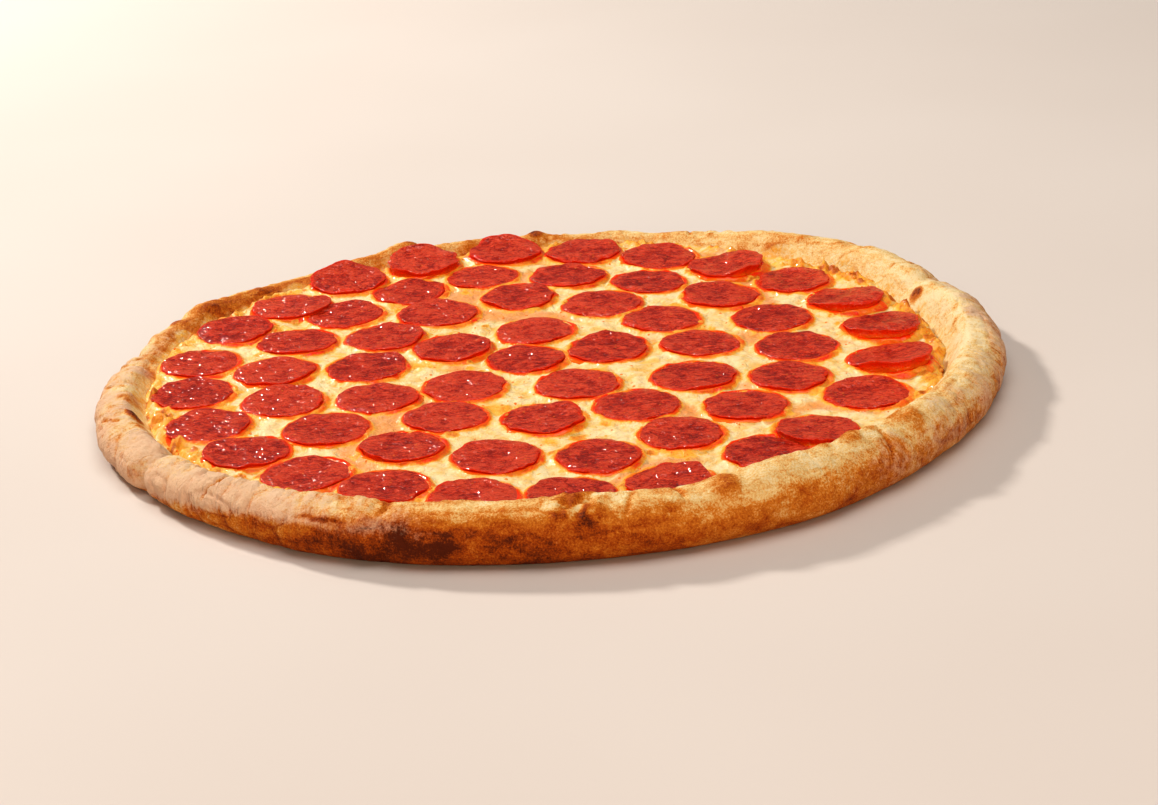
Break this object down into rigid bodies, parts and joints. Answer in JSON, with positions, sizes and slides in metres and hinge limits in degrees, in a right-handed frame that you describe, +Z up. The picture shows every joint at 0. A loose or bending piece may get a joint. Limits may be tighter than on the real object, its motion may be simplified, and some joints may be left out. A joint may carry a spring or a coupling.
{
  "type": "whole round pizza with sausage slices",
  "caption": "Large round uncut pizza: puffed baked dough rim, melted cheese filling and rings of thin cured sausage slices, ready to lie flat on a surface.",
  "frame": {"origin": "middle of the pizza's outline, at the height of the flat base it lies on", "axes": "+Z up out of the toppings, +X along the pizza's longest width, -Y towards the side where the rim is tallest"},
  "size_m": [0.3999, 0.3868, 0.026],
  "materials": {
    "crust": "baked dough, pale gold with flour on it and brown where it blistered",
    "cheese": "melted cheese, cream to yellow, oily with small brown flecks",
    "sausage": "cured sausage, brick red with a brighter translucent edge, oily"
  },
  "bodies": {
    "root": {"cheese": "cheese", "crust": "crust", "slice_0_01": "sausage", "slice_1_01": "sausage", "slice_1_02": "sausage", "slice_1_03": "sausage", "slice_1_04": "sausage", "slice_1_05": "sausage", "slice_2_01": "sausage", "slice_2_02": "sausage", "slice_2_03": "sausage", "slice_2_04": "sausage", "slice_2_05": "sausage", "slice_2_06": "sausage", "slice_2_07": "sausage", "slice_2_08": "sausage", "slice_2_09": "sausage", "slice_2_10": "sausage", "slice_2_11": "sausage", "slice_2_12": "sausage", "slice_3_01": "sausage", "slice_3_02": "sausage", "slice_3_03": "sausage", "slice_3_04": "sausage", "slice_3_05": "sausage", "slice_3_06": "sausage", "slice_3_07": "sausage", "slice_3_08": "sausage", "slice_3_09": "sausage", "slice_3_10": "sausage", "slice_3_11": "sausage", "slice_3_12": "sausage", "slice_3_13": "sausage", "slice_3_14": "sausage", "slice_3_15": "sausage", "slice_3_16": "sausage", "slice_3_18": "sausage", "slice_4_01": "sausage", "slice_4_02": "sausage", "slice_4_03": "sausage", "slice_4_04": "sausage", "slice_4_05": "sausage", "slice_4_06": "sausage", "slice_4_07": "sausage", "slice_4_08": "sausage", "slice_4_09": "sausage", "slice_4_12": "sausage", "slice_4_13": "sausage", "slice_4_14": "sausage", "slice_4_15": "sausage", "slice_4_16": "sausage", "slice_4_17": "sausage", "slice_4_18": "sausage", "slice_4_19": "sausage", "slice_4_20": "sausage", "slice_4_21": "sausage", "slice_4_23": "sausage", "slice_4_24": "sausage", "slice_pair_3_17": "sausage", "slice_pair_4_11": "sausage"}
  },
  "joints": []
}
